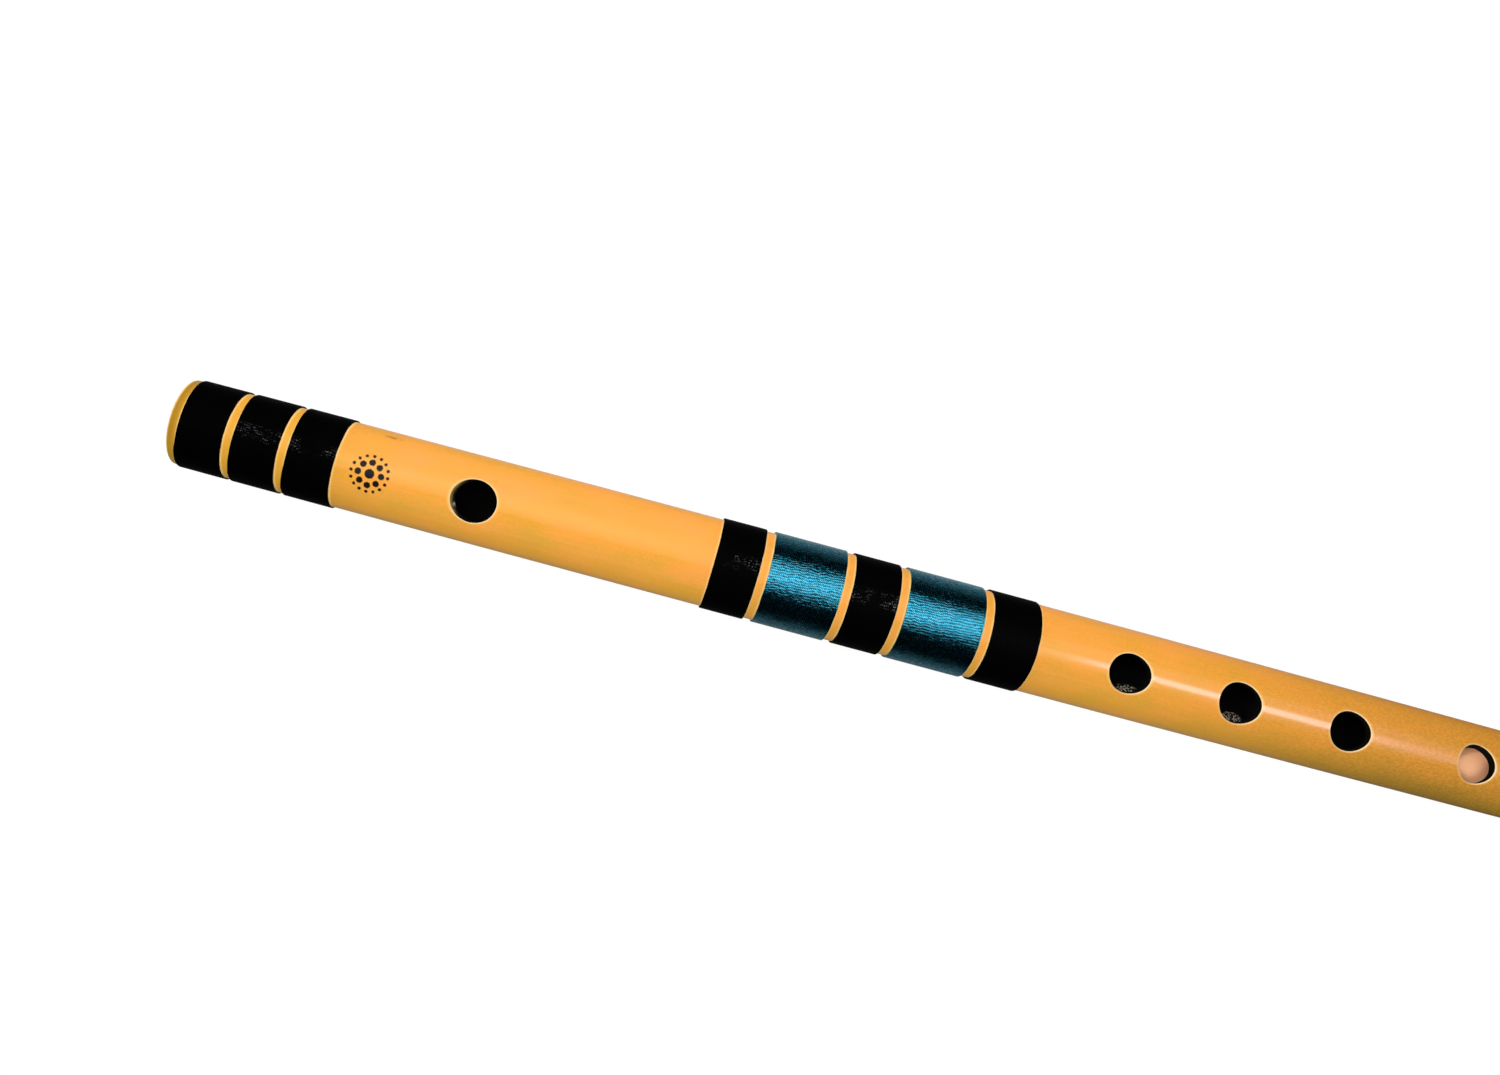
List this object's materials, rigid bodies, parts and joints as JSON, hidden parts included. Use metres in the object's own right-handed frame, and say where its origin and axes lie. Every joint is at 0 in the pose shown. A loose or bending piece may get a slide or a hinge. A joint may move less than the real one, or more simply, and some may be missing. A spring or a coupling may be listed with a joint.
{
  "type": "bansuri",
  "caption": "Side-blown bamboo flute with a blow hole, finger holes, wound thread bindings and a sliding cork stopper in its bore.",
  "frame": {"origin": "under the middle of the tube's length, at the height of the flats that it rests on", "axes": "+X along the tube from the head end to the foot end, +Z through the blow hole and the finger holes"},
  "size_m": [0.4694, 0.0236, 0.0236],
  "materials": {
    "bamboo": "clear satin lacquer over golden bamboo, burnt dark inside the holes",
    "cork": "raw cork",
    "black_thread": "wound twisted thread, slightly shiny",
    "teal_thread": "wound silky thread with a satin sheen"
  },
  "bodies": {
    "flute": {"bamboo_tube": "bamboo", "head_binding_1": "black_thread", "head_binding_2": "black_thread", "head_binding_3": "black_thread", "middle_binding_1": "black_thread", "middle_binding_2": "teal_thread", "middle_binding_3": "black_thread", "middle_binding_4": "teal_thread", "middle_binding_5": "black_thread", "foot_binding_1": "black_thread", "foot_binding_2": "black_thread", "foot_binding_3": "black_thread"},
    "stopper": {"cork_stopper": "cork"}
  },
  "joints": [
    {"name": "stopper_slide", "type": "slide", "parent": "flute", "child": "stopper", "axis": [1, 0, 0], "range_m": [-0.003, 0.003]}
  ]
}
